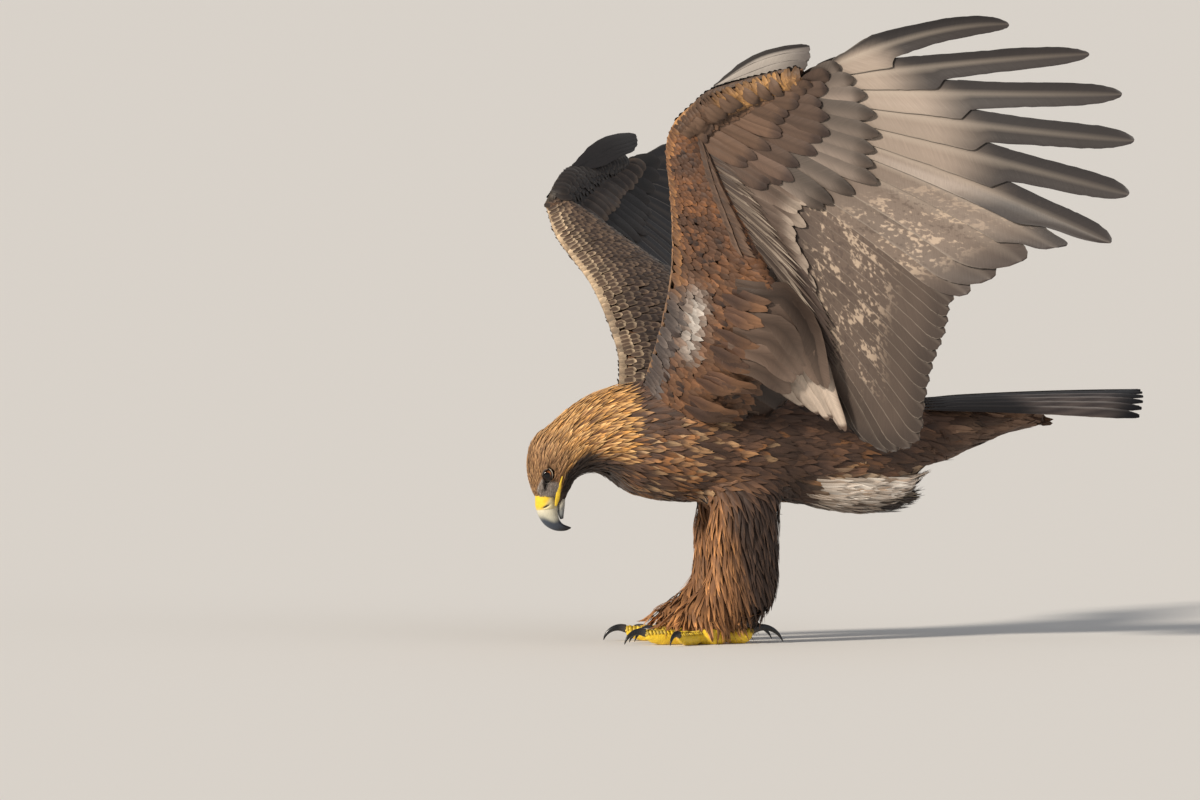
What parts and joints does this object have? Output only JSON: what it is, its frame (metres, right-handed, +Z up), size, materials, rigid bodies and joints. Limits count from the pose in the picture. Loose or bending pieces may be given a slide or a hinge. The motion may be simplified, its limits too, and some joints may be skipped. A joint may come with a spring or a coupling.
{
  "type": "golden eagle",
  "caption": "Life-size golden eagle standing with its head bowed, bill pointing down, and both wings raised and half spread.",
  "frame": {"origin": "on the floor, at the middle of the floor space that the whole bird takes up, wings and tail included", "axes": "-X is the way the bird faces, -Y is its left side, the side of the raised near wing, and +Z is up"},
  "size_m": [0.764, 1.2466, 0.7537],
  "materials": {
    "head_plumage": "matte",
    "body_plumage": "matte",
    "leg_plumage": "matte",
    "loose_plumage": "matte",
    "wing_coverts": "matte",
    "flight_feathers": "satin",
    "toe_skin": "satin",
    "cere": "satin",
    "bill": "satin",
    "claw": "gloss",
    "eye": "gloss"
  },
  "bodies": {
    "root": {"head": "head_plumage", "cere": "cere", "bill_upper": "bill", "bill_lower": "bill", "eye_left": "eye", "eye_right": "eye", "neck": "head_plumage", "trunk": "body_plumage", "rump": "loose_plumage", "undertail_coverts": "loose_plumage", "tail": "flight_feathers", "upper_arm_left": "wing_coverts", "forearm_left": "wing_coverts", "hand_left": "wing_coverts", "alula_left": "flight_feathers", "tertials_left": "flight_feathers", "secondaries_left": "flight_feathers", "primaries_left": "flight_feathers", "thigh_left": "leg_plumage", "tarsus_left": "leg_plumage", "foot_left": "toe_skin", "toe_inner_left": "toe_skin", "claw_inner_left": "claw", "toe_middle_left": "toe_skin", "claw_middle_left": "claw", "toe_outer_left": "toe_skin", "claw_outer_left": "claw", "toe_hind_left": "toe_skin", "claw_hind_left": "claw", "upper_arm_right": "wing_coverts", "forearm_right": "wing_coverts", "hand_right": "wing_coverts", "alula_right": "flight_feathers", "tertials_right": "flight_feathers", "secondaries_right": "flight_feathers", "primaries_right": "flight_feathers", "thigh_right": "leg_plumage", "tarsus_right": "leg_plumage", "foot_right": "toe_skin", "toe_inner_right": "toe_skin", "claw_inner_right": "claw", "toe_middle_right": "toe_skin", "claw_middle_right": "claw", "toe_outer_right": "toe_skin", "claw_outer_right": "claw", "toe_hind_right": "toe_skin", "claw_hind_right": "claw"}
  },
  "joints": []
}
